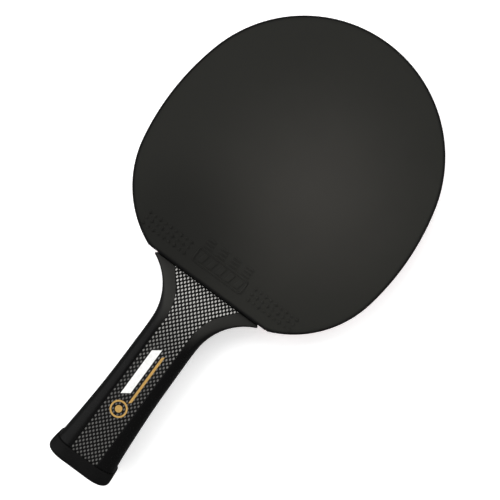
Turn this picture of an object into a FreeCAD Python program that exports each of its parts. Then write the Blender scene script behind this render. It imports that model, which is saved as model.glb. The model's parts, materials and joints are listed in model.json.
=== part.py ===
import FreeCAD
import Part
import Sketcher
import math
import os

# A table tennis paddle, laid flat with its black face up (+Z) and the tip of its blade towards +Y.
# The blade is a stack of seven plies with a tang. Each face carries glue, a sponge and a pimpled
# sheet, and tape covers the edge. Two moulded shells close round the tang and hold wooden fillers;
# each has a carbon-look inlay let into it, and a soft cap closes the butt.
#
# Every piece is drawn with the straight lower edge of the rubber on y = 0, the middle of the blade
# on z = 0 and the long axis on x = 0. Its Placement then moves it to the paddle's own origin, the
# middle of the bottom of its bounding box.

SIZES = {
    # the blade's outline, face on
    "blade_wide": 150.4,
    "blade_long": 157.4,
    "crown_less": 2.1,
    "widest_drop": 16.2,
    "lower_rise": 43.0,
    "corner_inset": 37.6,
    # the plies, from the middle outwards
    "core_thick": 3.2,
    "inner_ply_thick": 0.6,
    "carbon_ply_thick": 0.25,
    "outer_ply_thick": 0.65,
    # the covering of each face
    "adhesive_sheet_thick": 0.1,
    "sponge_thick": 2.0,
    "sheet_thick": 0.7,
    "pimple_tall": 1.1,
    "field_inset": 3.0,
    "corner_clip": 1.2,
    # the edge tape
    "tape_thick": 0.3,
    "tape_wide": 9.0,
    # the handle's outline, face on
    "handle_long": 114.7,
    "waist_half": 14.465,
    "neck_radius": 31.3,
    "neck_reach": 30.55,
    "straight_long": 15.0,
    "flare_radius": 620.0,
    "neck_corner": 0.7,
    "neck_overhang": 4.6,
    # the handle's section: half thickness, and how deep its rounded flank is
    "neck_half_thick": 4.8,
    "waist_half_thick": 10.8,
    "butt_half_thick": 11.5,
    "neck_flank_deep": 1.5,
    "waist_flank_deep": 6.1,
    "butt_flank_deep": 6.9,
    "ramp_long": 32.0,
    # the shells, what is in them and the gaps
    "shell_wall": 1.6,
    "bond_gap": 0.1,
    "rubber_gap": 0.8,
    "filler_start": 9.0,
    # the inlay
    "inlay_thick": 0.5,
    "inlay_gap": 0.05,
    "inlay_half": 8.3,
    "inlay_top_half": 21.4,
    "inlay_angle": 41.0,
    "inlay_radius": 25.0,
    "inlay_margin": 0.3,
    # the butt cap
    "cap_long": 8.0,
    "cap_base": 3.0,
    "cap_rebate": 0.7,
    "cap_lip": 0.9,
    "cap_bulge": 1.3,
    "cap_round": 2.8,
    "lip_round": 0.5,
    # the foil marks on the front inlay
    "foil_thick": 0.15,
    "bar_top": 39.0,
    "bar_long": 30.0,
    "bar_wide": 4.2,
    "bar_slant": 3.0,
    "bar_offset": -1.9,
    "stripe_top": 41.0,
    "stripe_long": 30.0,
    "stripe_wide": 1.3,
    "stripe_offset": 2.9,
    "roundel_top": 71.5,
    "roundel_radius": 4.6,
    "roundel_ring": 0.9,
    "roundel_ball": 1.9,
}

# The blade's crown and corner as expressions; crown_radius() and blade_corner() say the same.
CROWN_TEXT = "sizes.blade_wide / 2 - sizes.crown_less"
CORNER_TEXT = ("max(sizes.blade_wide / 2 - sizes.corner_inset; sizes.waist_half + sizes.neck_radius"
               " - sqrt(sizes.neck_radius ^ 2 - sizes.neck_reach ^ 2) - sizes.neck_overhang)")

UP = FreeCAD.Vector(0, 0, 1)
# Far enough to pass every edge of the paddle.
REACH = 400.0
# How many sections draw each stretch of the handle and of the cap.
NECK_STEPS = 9
HANDLE_STEPS = 5
LIP_STEPS = 2
SIDE_STEPS = 4
ROUND_STEPS = 4


def point(x, y, z=0.0):
    """A vector, with z left out for a point of a face-on outline."""
    return FreeCAD.Vector(x, y, z)


# --- the sheet of sizes -------------------------------------------------------------------------

def make_sheet(doc):
    """The spreadsheet that every sub-part reads, one size to a row."""
    sheet = doc.addObject("Spreadsheet::Sheet", "sizes")
    for row, (alias, value) in enumerate(SIZES.items(), start=1):
        sheet.set(f"A{row}", alias)
        sheet.set(f"B{row}", str(value))
        sheet.setAlias(f"B{row}", alias)
    doc.recompute()
    return sheet


def size(alias):
    """One size, in millimetres or degrees."""
    return float(SHEET.get(alias))


# --- the blade's outline ------------------------------------------------------------------------

def arc_points(centre, start, end):
    """An arc that turns anticlockwise about its centre from start to end."""
    radius = centre.distanceToPoint(start)
    start_angle = math.atan2(start.y - centre.y, start.x - centre.x)
    end_angle = math.atan2(end.y - centre.y, end.x - centre.x)
    while end_angle < start_angle:
        end_angle += 2 * math.pi
    return Part.ArcOfCircle(Part.Circle(centre, UP, radius), start_angle, end_angle)


def crown_radius():
    """Radius of the arc over the tip, a little less than half the blade's width."""
    return size("blade_wide") / 2 - size("crown_less")


def crown_centre():
    """Centre of the arc over the tip."""
    return point(0, size("blade_long") - crown_radius())


def side_radius():
    """Radius of the side arc, which is tangent to the crown and widest at half the blade's width."""
    half = size("blade_wide") / 2
    return (half ** 2 + size("widest_drop") ** 2 - crown_radius() ** 2) / (2 * size("crown_less"))


def side_centre():
    """Centre of the side arc, level with the widest part of the blade."""
    return point(size("blade_wide") / 2 - side_radius(), crown_centre().y - size("widest_drop"))


def crown_joint():
    """Where the crown arc meets the side arc."""
    towards = crown_centre() - side_centre()
    return crown_centre() + towards * (crown_radius() / (side_radius() - crown_radius()))


def side_joint():
    """Where the side arc meets the lower arc."""
    centre = side_centre()
    rise = size("lower_rise") - centre.y
    return point(centre.x + math.sqrt(side_radius() ** 2 - rise ** 2), size("lower_rise"))


def blade_corner():
    """Where the lower arc meets the rubber's straight lower edge.

    It is set in from the blade's side, but never so far that the neck stands out past it.
    """
    neck = size("waist_half") + size("neck_radius")
    neck -= math.sqrt(size("neck_radius") ** 2 - size("neck_reach") ** 2)
    return point(max(size("blade_wide") / 2 - size("corner_inset"), neck - size("neck_overhang")), 0)


def blade_corner_clip():
    """Where the rubber's clipped corner meets the lower arc."""
    centre = lower_centre()
    fall = centre.y - size("corner_clip")
    radius = centre.distanceToPoint(blade_corner())
    return point(centre.x + math.sqrt(radius ** 2 - fall ** 2), size("corner_clip"))


def lower_centre():
    """Centre of the lower arc: tangent to the side arc at its joint, and through the corner."""
    joint = side_joint()
    inwards = side_centre() - joint
    inwards.normalize()
    chord = blade_corner() - joint
    radius = chord.dot(chord) / (2 * chord.dot(inwards))
    return joint + inwards * radius


def spread(centre, rim, grow):
    """The rim point moved away from the centre by grow."""
    towards = rim - centre
    towards.normalize()
    return rim + towards * grow


# --- sketching ----------------------------------------------------------------------------------

def origin_plane(body, role):
    """One of a body's own origin planes."""
    return next(feature for feature in body.Origin.OriginFeatures if feature.Role == role)


def new_sketch(body, name):
    """A sketch on the body's own XY plane."""
    sketch = body.newObject("Sketcher::SketchObject", name)
    sketch.AttachmentSupport = [(origin_plane(body, "XY_Plane"), "")]
    sketch.MapMode = "FlatFace"
    return sketch


def bind(sketch, name, constraint, expression):
    """Adds a dimension and ties it to the sheet."""
    sketch.addConstraint(constraint)
    sketch.renameConstraint(sketch.ConstraintCount - 1, name)
    sketch.setExpression(f"Constraints.{name}", expression)


def tie(sketch, *ends):
    """Makes two ends meet: (curve, end, curve, end), where end 1 is the start and 2 the finish."""
    sketch.addConstraint(Sketcher.Constraint("Coincident", *ends))


def smooth(sketch, *ends):
    """Makes two ends meet with one tangent."""
    sketch.addConstraint(Sketcher.Constraint("Tangent", *ends))


def marker_on(sketch, curve, place):
    """A construction point that lies on a curve or on the curve's extension."""
    marker = sketch.addGeometry(Part.Point(place), True)
    sketch.addConstraint(Sketcher.Constraint("PointOnObject", marker, 1, curve))
    return marker


def sketch_blade_arcs(sketch, foot):
    """The crown, side and lower arcs of one half of the blade, tied to the sheet.

    foot is where the lower arc starts: at the blade's corner or a little way up from it.
    """
    crown = sketch.addGeometry(
        arc_points(crown_centre(), crown_joint(), point(0, size("blade_long"))))
    side = sketch.addGeometry(arc_points(side_centre(), side_joint(), crown_joint()))
    lower = sketch.addGeometry(arc_points(lower_centre(), foot, side_joint()))
    smooth(sketch, crown, 1, side, 2)
    smooth(sketch, side, 1, lower, 2)
    sketch.addConstraint(Sketcher.Constraint("PointOnObject", crown, 3, -2))
    sketch.addConstraint(Sketcher.Constraint("PointOnObject", crown, 2, -2))
    bind(sketch, "crown_radius", Sketcher.Constraint("Radius", crown, crown_radius()), CROWN_TEXT)
    bind(sketch, "blade_long", Sketcher.Constraint("DistanceY", -1, 1, crown, 2, size("blade_long")),
         "sizes.blade_long")
    bind(sketch, "widest_drop",
         Sketcher.Constraint("DistanceY", side, 3, crown, 3, size("widest_drop")),
         "sizes.widest_drop")
    bind(sketch, "lower_rise", Sketcher.Constraint("DistanceY", -1, 1, side, 1, size("lower_rise")),
         "sizes.lower_rise")
    corner = marker_on(sketch, lower, blade_corner())
    sketch.addConstraint(Sketcher.Constraint("PointOnObject", corner, 1, -1))
    bind(sketch, "corner_half",
         Sketcher.Constraint("DistanceX", -1, 1, corner, 1, blade_corner().x), CORNER_TEXT)
    widest = marker_on(sketch, side, point(size("blade_wide") / 2, side_centre().y))
    sketch.addConstraint(Sketcher.Constraint("Horizontal", widest, 1, side, 3))
    bind(sketch, "half_width",
         Sketcher.Constraint("DistanceX", -1, 1, widest, 1, size("blade_wide") / 2),
         "sizes.blade_wide / 2")
    return crown, side, lower


def sketch_full_arcs(sketch):
    """The blade's three arcs down to its corner on the rubber's lower edge."""
    arcs = sketch_blade_arcs(sketch, blade_corner())
    sketch.addConstraint(Sketcher.Constraint("PointOnObject", arcs[2], 1, -1))
    return arcs


def close_on_axis(sketch, first, last):
    """Draws the line on the long axis that closes a half outline.

    first and last are (curve, end) pairs: the outline's top and bottom points on the axis.
    """
    top = sketch.getPoint(*first)
    bottom = sketch.getPoint(*last)
    axis = sketch.addGeometry(Part.LineSegment(bottom, top))
    tie(sketch, axis, 2, *first)
    tie(sketch, axis, 1, *last)


def sketch_rubber(body):
    """Half of the rubber's outline: the blade down to a straight lower edge with a clipped corner."""
    sketch = new_sketch(body, body.Name + "_outline")
    foot = blade_corner_clip()
    crown, _, lower = sketch_blade_arcs(sketch, foot)
    bind(sketch, "clip_rise", Sketcher.Constraint("DistanceY", -1, 1, lower, 1, foot.y),
         "sizes.corner_clip")
    edge_end = blade_corner() - point(size("corner_clip"), 0)
    edge = sketch.addGeometry(Part.LineSegment(point(0, 0), edge_end))
    clip = sketch.addGeometry(Part.LineSegment(edge_end, foot))
    tie(sketch, edge, 1, -1, 1)
    tie(sketch, edge, 2, clip, 1)
    tie(sketch, clip, 2, lower, 1)
    sketch.addConstraint(Sketcher.Constraint("Horizontal", edge))
    bind(sketch, "edge_half", Sketcher.Constraint("DistanceX", edge, 1, edge, 2, edge_end.x),
         f"{CORNER_TEXT} - sizes.corner_clip")
    close_on_axis(sketch, (crown, 2), (edge, 1))
    return sketch


def sketch_moved_arcs(sketch, guides, by, sign):
    """Copies of the three arcs moved by a size of the sheet: outwards where sign is 1, else -1.

    Returns the new crown arc, the new lower arc and the lower arc's foot.
    """
    grow = sign * size(by)
    foot = -min(grow, 0.0)
    lower_radius = lower_centre().distanceToPoint(blade_corner()) + grow
    fall = lower_centre().y - foot
    corner = point(lower_centre().x + math.sqrt(lower_radius ** 2 - fall ** 2), foot)
    joints = (spread(side_centre(), crown_joint(), grow), spread(side_centre(), side_joint(), grow))
    crown = sketch.addGeometry(
        arc_points(crown_centre(), joints[0], point(0, size("blade_long") + grow)))
    side = sketch.addGeometry(arc_points(side_centre(), joints[1], joints[0]))
    lower = sketch.addGeometry(arc_points(lower_centre(), corner, joints[1]))
    for arc, guide in zip((crown, side, lower), guides):
        tie(sketch, arc, 3, guide, 3)
    smooth(sketch, crown, 1, side, 2)
    smooth(sketch, side, 1, lower, 2)
    sketch.addConstraint(Sketcher.Constraint("PointOnObject", crown, 2, -2))
    bind(sketch, "moved_crown",
         Sketcher.Constraint("Radius", crown, crown_radius() + grow),
         f"{CROWN_TEXT} + {sign} * sizes.{by}")
    return crown, lower, corner


def sketch_pimple_field(body):
    """Half of the pimpled field under the sheet, set in from the cut edge."""
    sketch = new_sketch(body, body.Name + "_field")
    guides = sketch_full_arcs(sketch)
    for guide in guides:
        sketch.toggleConstruction(guide)
    crown, lower, corner = sketch_moved_arcs(sketch, guides, "field_inset", -1)
    edge = sketch.addGeometry(Part.LineSegment(point(0, corner.y), corner))
    tie(sketch, edge, 2, lower, 1)
    sketch.addConstraint(Sketcher.Constraint("PointOnObject", edge, 1, -2))
    sketch.addConstraint(Sketcher.Constraint("Horizontal", edge))
    bind(sketch, "edge_inset", Sketcher.Constraint("DistanceY", -1, 1, edge, 1, corner.y),
         "sizes.field_inset")
    close_on_axis(sketch, (crown, 2), (edge, 1))
    return sketch


def sketch_tape(body):
    """Half of the tape's ring: the blade's edge and the same edge moved out."""
    sketch = new_sketch(body, body.Name + "_ring")
    edge = sketch_full_arcs(sketch)
    crown, lower, corner = sketch_moved_arcs(sketch, edge, "tape_thick", 1)
    foot = sketch.addGeometry(Part.LineSegment(blade_corner(), corner))
    tie(sketch, foot, 1, edge[2], 1)
    tie(sketch, foot, 2, lower, 1)
    sketch.addConstraint(Sketcher.Constraint("Horizontal", foot))
    close_on_axis(sketch, (crown, 2), (edge[0], 2))
    return sketch


def sketch_ply(body):
    """Half of a ply: the blade, the shoulders and the tang that fills the handle shells."""
    sketch = new_sketch(body, body.Name + "_outline")
    crown, _, lower = sketch_full_arcs(sketch)
    inset = size("shell_wall") + size("bond_gap")
    inset_text = "(sizes.shell_wall + sizes.bond_gap)"
    neck_centre = point(size("waist_half") + size("neck_radius"), -size("neck_reach"))
    neck_radius = size("neck_radius") + inset
    shoulder = point(neck_centre.x - math.sqrt(neck_radius ** 2 - neck_centre.y ** 2), 0)
    waist_top = point(size("waist_half") - inset, neck_centre.y)
    waist_end = point(waist_top.x, neck_centre.y - size("straight_long"))
    flare_centre = point(size("waist_half") + size("flare_radius"), waist_end.y)
    flare_radius = size("flare_radius") + inset
    tang_end = -(size("handle_long") - size("cap_base"))
    fall = flare_centre.y - tang_end
    heel = point(flare_centre.x - math.sqrt(flare_radius ** 2 - fall ** 2), tang_end)
    step = sketch.addGeometry(Part.LineSegment(shoulder, blade_corner()))
    neck = sketch.addGeometry(arc_points(neck_centre, shoulder, waist_top))
    waist = sketch.addGeometry(Part.LineSegment(waist_top, waist_end))
    flare = sketch.addGeometry(arc_points(flare_centre, waist_end, heel))
    end = sketch.addGeometry(Part.LineSegment(point(0, tang_end), heel))
    tie(sketch, step, 2, lower, 1)
    tie(sketch, step, 1, neck, 1)
    sketch.addConstraint(Sketcher.Constraint("PointOnObject", step, 1, -1))
    smooth(sketch, neck, 2, waist, 1)
    smooth(sketch, waist, 2, flare, 1)
    tie(sketch, flare, 2, end, 2)
    sketch.addConstraint(Sketcher.Constraint("Vertical", waist))
    sketch.addConstraint(Sketcher.Constraint("Horizontal", end))
    sketch.addConstraint(Sketcher.Constraint("PointOnObject", end, 1, -2))
    bind(sketch, "waist", Sketcher.Constraint("DistanceX", -1, 1, waist, 1, waist_top.x),
         f"sizes.waist_half - {inset_text}")
    bind(sketch, "neck_radius", Sketcher.Constraint("Radius", neck, neck_radius),
         f"sizes.neck_radius + {inset_text}")
    bind(sketch, "neck_reach", Sketcher.Constraint("DistanceY", neck, 3, -1, 1, size("neck_reach")),
         "sizes.neck_reach")
    bind(sketch, "straight_long",
         Sketcher.Constraint("DistanceY", waist, 2, waist, 1, size("straight_long")),
         "sizes.straight_long")
    bind(sketch, "flare_radius", Sketcher.Constraint("Radius", flare, flare_radius),
         f"sizes.flare_radius + {inset_text}")
    bind(sketch, "tang_long", Sketcher.Constraint("DistanceY", end, 1, -1, 1, -tang_end),
         "sizes.handle_long - sizes.cap_base")
    close_on_axis(sketch, (crown, 2), (end, 1))
    return sketch


# --- sub-parts made from sketches ---------------------------------------------------------------

def pad(body, sketch, name, length, downwards=False):
    """Thickens a sketch by an expression, upwards unless told otherwise."""
    feature = body.newObject("PartDesign::Pad", name)
    feature.Profile = sketch
    feature.setExpression("Length", length)
    feature.Reversed = downwards
    return feature


def mirror_half(doc, body, halves):
    """Mirrors the half features across the long axis and makes that the body's result."""
    mirrored = body.newObject("PartDesign::Mirrored", body.Name + "_whole")
    mirrored.Originals = halves
    mirrored.MirrorPlane = (origin_plane(body, "YZ_Plane"), [""])
    body.Tip = mirrored
    doc.recompute()


def new_body(doc, name):
    """An empty body whose label names the sub-part's file."""
    body = doc.addObject("PartDesign::Body", name)
    body.Label = name
    return body


def make_ply(doc, name, thick, height):
    """One ply of the blade, with its underside at the height expression."""
    body = new_body(doc, name)
    outline = sketch_ply(body)
    half = pad(body, outline, name + "_half", thick)
    mirror_half(doc, body, [half])
    place(body, height)


def make_flat_sheet(doc, name, thick, height):
    """A glue sheet or a sponge: the rubber's outline, with its underside at the height expression."""
    body = new_body(doc, name)
    outline = sketch_rubber(body)
    half = pad(body, outline, name + "_half", thick)
    mirror_half(doc, body, [half])
    place(body, height)


def make_topsheet(doc, name, height, turned):
    """The pimpled sheet, smooth side out: a thin sheet on the field of pimples that points inwards."""
    body = new_body(doc, name)
    sheet_half = pad(body, sketch_rubber(body), name + "_half", "sizes.sheet_thick")
    field_half = pad(body, sketch_pimple_field(body), name + "_field_half", "sizes.pimple_tall",
                     downwards=True)
    mirror_half(doc, body, [sheet_half, field_half])
    if turned:
        body.Placement = FreeCAD.Placement(point(0, 0), FreeCAD.Rotation(point(0, 1), 180))
    place(body, height)


def make_tape(doc, name):
    """The edge tape, from one lower corner of the blade round the tip to the other."""
    body = new_body(doc, name)
    half = pad(body, sketch_tape(body), name + "_half", "sizes.tape_wide")
    mirror_half(doc, body, [half])
    place(body, "-sizes.tape_wide / 2")


# --- the handle's form --------------------------------------------------------------------------

def ease(share):
    """A ramp from 0 to 1 that starts and ends level."""
    share = min(max(share, 0.0), 1.0)
    return share * share * (3 - 2 * share)


def handle_end():
    """Distance from the rubber's lower edge to the end of the shells, fillers and tang."""
    return size("handle_long") - size("cap_base")


def lip_place():
    """Distance from the rubber's lower edge to the lip of the cap."""
    return size("handle_long") - size("cap_long")


def half_width_at(down):
    """Half the handle's width, at a distance down from the rubber's lower edge."""
    centre_x = size("waist_half") + size("neck_radius")
    if down < size("neck_reach"):
        rise = size("neck_reach") - down
        return centre_x - math.sqrt(size("neck_radius") ** 2 - rise ** 2)
    flare = max(down - size("neck_reach") - size("straight_long"), 0.0)
    radius = size("flare_radius")
    return size("waist_half") + radius - math.sqrt(radius ** 2 - flare ** 2)


def along_handle(down, neck, waist, butt):
    """A value that ramps from the neck to the waist and goes on evenly to the lip of the cap."""
    start = size(neck) + (size(waist) - size(neck)) * ease(down / size("ramp_long"))
    beyond = (down - size("ramp_long")) / (lip_place() - size("ramp_long"))
    return start + (size(butt) - size(waist)) * min(max(beyond, 0.0), 1.0)


def inlay_turn():
    """Rise and run of the inlay's arc, between its straight side and its diagonal."""
    angle = math.radians(size("inlay_angle"))
    return size("inlay_radius") * math.sin(angle), size("inlay_radius") * (1 - math.cos(angle))


def inlay_bend():
    """Distance down from the rubber's lower edge to where the inlay's side starts to flare."""
    rise, run = inlay_turn()
    diagonal = size("inlay_top_half") - size("inlay_half") - run
    return diagonal / math.tan(math.radians(size("inlay_angle"))) + rise


def inlay_half_at(down):
    """Half the inlay's width, at a distance down from the rubber's lower edge."""
    above = inlay_bend() - down
    rise, run = inlay_turn()
    if above <= 0:
        return size("inlay_half")
    if above < rise:
        sag = size("inlay_radius") - math.sqrt(size("inlay_radius") ** 2 - above ** 2)
        return size("inlay_half") + sag
    return size("inlay_half") + run + (above - rise) * math.tan(math.radians(size("inlay_angle")))


def quarter(centre, across, up, towards_x, towards_z):
    """A quarter of an ellipse in the XZ plane from its side end to its top end, as a spline edge."""
    weight = math.sqrt(0.5)
    side = centre + point(across * towards_x, 0)
    top = centre + point(0, 0, up * towards_z)
    knee = centre + point(across * towards_x, 0, up * towards_z)
    curve = Part.BSplineCurve()
    curve.buildFromPolesMultsKnots([side, knee, top], [3, 3], [0, 1], False, 2, [1, weight, 1])
    return curve.toShape()


def section(down, grow):
    """The handle's closed section at a distance down, moved outwards by grow."""
    half_wide = half_width_at(down) + grow
    half_thick = along_handle(down, "neck_half_thick", "waist_half_thick", "butt_half_thick") + grow
    deep = along_handle(down, "neck_flank_deep", "waist_flank_deep", "butt_flank_deep") + grow
    deep = min(max(deep, size("bond_gap")), half_thick - size("bond_gap"))
    flat = min(inlay_half_at(down) + size("inlay_margin"), half_wide - deep / 2)
    edges = []
    for turn_x, turn_z in ((1, 1), (-1, 1), (-1, -1), (1, -1)):
        centre = point(flat * turn_x, -down, (half_thick - deep) * turn_z)
        corner = quarter(centre, half_wide - flat, deep, turn_x, turn_z)
        if turn_x != turn_z:
            corner.reverse()
        edges.append(corner)
    ordered = []
    for number, corner in enumerate(edges):
        follower = edges[(number + 1) % 4]
        ordered.append(corner)
        start = last_point(corner)
        finish = first_point(follower)
        ordered.append(Part.makeLine(start, finish))
    return Part.Wire(ordered)


def first_point(edge):
    """The point where an edge starts, in its own direction."""
    return edge.firstVertex(True).Point


def last_point(edge):
    """The point where an edge finishes, in its own direction."""
    return edge.lastVertex(True).Point


def stations():
    """Distances down the handle at which its form is drawn, closer together in the curved neck."""
    steepest = math.asin(size("neck_reach") / size("neck_radius"))
    places = []
    for step in range(NECK_STEPS + 1):
        angle = steepest * (1 - step / NECK_STEPS)
        places.append(size("neck_reach") - size("neck_radius") * math.sin(angle))
    rest = lip_place() - size("neck_reach")
    for step in range(1, HANDLE_STEPS + 1):
        places.append(size("neck_reach") + rest * step / HANDLE_STEPS)
    places.append(size("handle_long"))
    return places


def handle_form(grow):
    """The whole handle as one smooth solid, moved outwards by grow."""
    return Part.makeLoft([section(down, grow) for down in stations()], True, False)


def slab(first, last, low, high):
    """A wide block between two distances down the handle and two heights."""
    return Part.makeBox(2 * REACH, last - first, high - low, point(-REACH, -last, low))


def prism(wire, low, high):
    """A face-on outline raised from one height to another."""
    face = Part.Face(wire)
    face.translate(point(0, 0, low))
    return face.extrude(point(0, 0, high - low))


def half_stack():
    """Half the thickness of the plies."""
    names = ("inner_ply_thick", "carbon_ply_thick", "outer_ply_thick")
    return size("core_thick") / 2 + sum(size(name) for name in names)


# --- sub-parts of the handle --------------------------------------------------------------------

def place(item, height, flip=False):
    """Moves a piece from the drawing frame to the paddle's frame; height is an expression."""
    if flip:
        item.Placement = FreeCAD.Placement(point(0, 0), FreeCAD.Rotation(point(0, 1), 180))
    item.setExpression("Placement.Base.y",
                       "-(sizes.blade_long + sizes.tape_thick - sizes.handle_long) / 2")
    item.setExpression("Placement.Base.z",
                       f"sizes.butt_half_thick + sizes.cap_bulge + ({height})")


def add_solid(doc, name, shape, flip=False):
    """Files a finished solid, or a group of solids, as one sub-part."""
    item = doc.addObject("Part::Feature", name)
    item.Label = name
    item.Shape = shape
    place(item, "0", flip)


def shell_top_outline():
    """Face-on outline that trims the shell's top edge and rounds its two corners."""
    gap = size("rubber_gap")
    radius = size("neck_corner")
    centre_x = size("waist_half") + size("neck_radius")
    reach = size("neck_reach")
    run = math.sqrt((size("neck_radius") + radius) ** 2 - (reach - gap - radius) ** 2)
    corner = point(centre_x - run, -gap - radius)
    towards = point(centre_x, -reach) - corner
    towards.normalize()
    touch = corner + towards * radius
    middle = towards + point(0, 1)
    middle.normalize()
    knee = corner + middle * radius
    right = [Part.Arc(corner + point(0, radius), knee, touch).toShape(),
             Part.makeLine(touch, point(REACH, touch.y)),
             Part.makeLine(point(REACH, touch.y), point(REACH, -REACH)),
             Part.makeLine(point(REACH, -REACH), point(0, -REACH))]
    return mirrored_wire(right, Part.makeLine(point(0, -gap), corner + point(0, radius)))


def mirrored_wire(edges, top):
    """Closes a half outline that starts and ends on the long axis with its own mirror image."""
    half = [top] + edges
    other = [edge.mirror(point(0, 0), point(1, 0)) for edge in half]
    return Part.Wire(Part.__sortEdges__(half + other))


def inlay_outline(grow):
    """Face-on outline of the inlay, moved outwards by grow: straight, an arc, then a diagonal."""
    top = size("rubber_gap") - grow
    bottom = lip_place() + grow
    angle = math.radians(size("inlay_angle"))
    radius = size("inlay_radius") - grow
    centre = point(size("inlay_half") + size("inlay_radius"), -inlay_bend())
    straight = point(size("inlay_half") + grow, centre.y)
    half_way = centre + point(-radius * math.cos(angle / 2), radius * math.sin(angle / 2))
    diagonal = centre + point(-radius * math.cos(angle), radius * math.sin(angle))
    shoulder = point(diagonal.x + (-top - diagonal.y) * math.tan(angle), -top)
    right = [Part.makeLine(shoulder, diagonal),
             Part.Arc(diagonal, half_way, straight).toShape(),
             Part.makeLine(straight, point(straight.x, -bottom)),
             Part.makeLine(point(straight.x, -bottom), point(0, -bottom))]
    return mirrored_wire(right, Part.makeLine(point(0, -top), shoulder))


def inlay_block(grow, deeper):
    """The space above the inlay's underside, within its outline."""
    thick = size("inlay_thick") + deeper
    return prism(inlay_outline(grow), 0, REACH).cut(handle_form(-thick))


def outer_half():
    """The outside of the front half of the handle, stepped down where the cap goes over it."""
    whole = handle_form(0)
    collar = slab(lip_place(), REACH, -REACH, REACH).cut(handle_form(-size("cap_rebate")))
    top = prism(shell_top_outline(), 0, REACH)
    return whole.cut(collar).common(top).common(slab(0, handle_end(), 0, REACH))


def tang_slot():
    """The space for half of the blade's tang: the tang's outline and thickness and the bond gap."""
    wall = size("shell_wall")
    neck_centre = point(size("waist_half") + size("neck_radius"), -size("neck_reach"))
    neck_radius = size("neck_radius") + wall
    shoulder = point(neck_centre.x - math.sqrt(neck_radius ** 2 - neck_centre.y ** 2), 0)
    waist = size("waist_half") - wall
    waist_end = neck_centre.y - size("straight_long")
    flare_centre = point(size("waist_half") + size("flare_radius"), waist_end)
    flare_radius = size("flare_radius") + wall
    end = -handle_end()
    heel = point(flare_centre.x - math.sqrt(flare_radius ** 2 - (waist_end - end) ** 2), end)
    right = [arc_points(neck_centre, shoulder, point(waist, neck_centre.y)).toShape(),
             Part.makeLine(point(waist, neck_centre.y), point(waist, waist_end)),
             arc_points(flare_centre, point(waist, waist_end), heel).toShape(),
             Part.makeLine(heel, point(0, end))]
    outline = mirrored_wire(right, Part.makeLine(point(0, 0), shoulder))
    return prism(outline, -half_stack(), half_stack() + size("bond_gap"))


def make_shell():
    """The front shell: a thin wall that closes on the mid-plane, with a pocket for the inlay."""
    hollow = handle_form(-size("shell_wall")).common(
        slab(size("filler_start") - size("bond_gap"), REACH, -REACH, REACH))
    shell = outer_half().cut(tang_slot()).cut(hollow)
    return shell.cut(inlay_block(size("inlay_gap"), size("inlay_gap")))


def make_filler():
    """The wooden filler of the front shell, which lies on the tang."""
    form = handle_form(-size("shell_wall") - size("bond_gap"))
    return form.common(slab(size("filler_start"), handle_end(), half_stack(), REACH))


def make_inlay():
    """The front inlay, flush with the shell that it is let into."""
    return inlay_block(0, 0).common(handle_form(0))


def cap_form():
    """The outside of the cap: a rounded lip, a slight bulge and a rounded end."""
    sections = []
    for step in range(LIP_STEPS):
        angle = math.pi / 2 * step / LIP_STEPS
        sections.append(cap_section(lip_place() + size("lip_round") * (1 - math.cos(angle)),
                                    size("cap_lip") - size("lip_round") * (1 - math.sin(angle))))
    side_start = lip_place() + size("lip_round")
    side_end = size("handle_long") - size("cap_round")
    for step in range(SIDE_STEPS):
        share = step / SIDE_STEPS
        swell = (size("cap_bulge") - size("cap_lip")) * math.sin(math.pi / 2 * share)
        sections.append(cap_section(side_start + (side_end - side_start) * share,
                                    size("cap_lip") + swell))
    for step in range(ROUND_STEPS + 1):
        angle = math.pi / 2 * step / ROUND_STEPS
        sections.append(cap_section(side_end + size("cap_round") * math.sin(angle),
                                    size("cap_bulge") - size("cap_round") * (1 - math.cos(angle))))
    return Part.makeLoft(sections, True, False)


def cap_section(down, grow):
    """A section of the cap: the handle's section at the lip, grown, at another place along it."""
    wire = section(lip_place(), grow)
    wire.translate(point(0, lip_place() - down))
    return wire


def make_cap():
    """The soft cap, a cup that slides over the stepped end of both shells."""
    socket = handle_form(size("bond_gap") - size("cap_rebate"))
    depth = handle_end() + size("bond_gap")
    return cap_form().cut(socket.common(slab(0, depth, -REACH, REACH)))


# --- the foil marks -----------------------------------------------------------------------------

def foil(outline):
    """A thin raised layer on the front of the handle, within a face-on outline."""
    layer = prism(outline, 0, REACH).common(handle_form(size("foil_thick")))
    return layer.cut(handle_form(0))


def slanted_outline(top, long, wide, slant, offset):
    """A four-sided outline whose two short ends are cut on a slant."""
    left = offset - wide / 2
    right = offset + wide / 2
    return Part.makePolygon([point(left, -top - slant), point(right, -top),
                             point(right, -top - long + slant), point(left, -top - long),
                             point(left, -top - slant)])


def circle_outline(centre, radius):
    """A round outline."""
    return Part.Wire(Part.Circle(centre, UP, radius).toShape())


def make_white_bar():
    """The white bar on the front inlay."""
    return foil(slanted_outline(size("bar_top"), size("bar_long"), size("bar_wide"),
                                size("bar_slant"), size("bar_offset")))


def make_gold_stripe():
    """The gold pinstripe beside the white bar."""
    return foil(slanted_outline(size("stripe_top"), size("stripe_long"), size("stripe_wide"),
                                size("stripe_wide"), size("stripe_offset")))


def make_gold_roundel():
    """A gold ring with a ball in the middle, below the bar."""
    centre = point(0, -size("roundel_top") - size("roundel_radius"))
    outer = foil(circle_outline(centre, size("roundel_radius")))
    hole = prism(circle_outline(centre, size("roundel_radius") - size("roundel_ring")), 0, REACH)
    ball = foil(circle_outline(centre, size("roundel_ball")))
    return Part.makeCompound([outer.cut(hole), ball])


# --- the whole paddle ---------------------------------------------------------------------------

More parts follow.
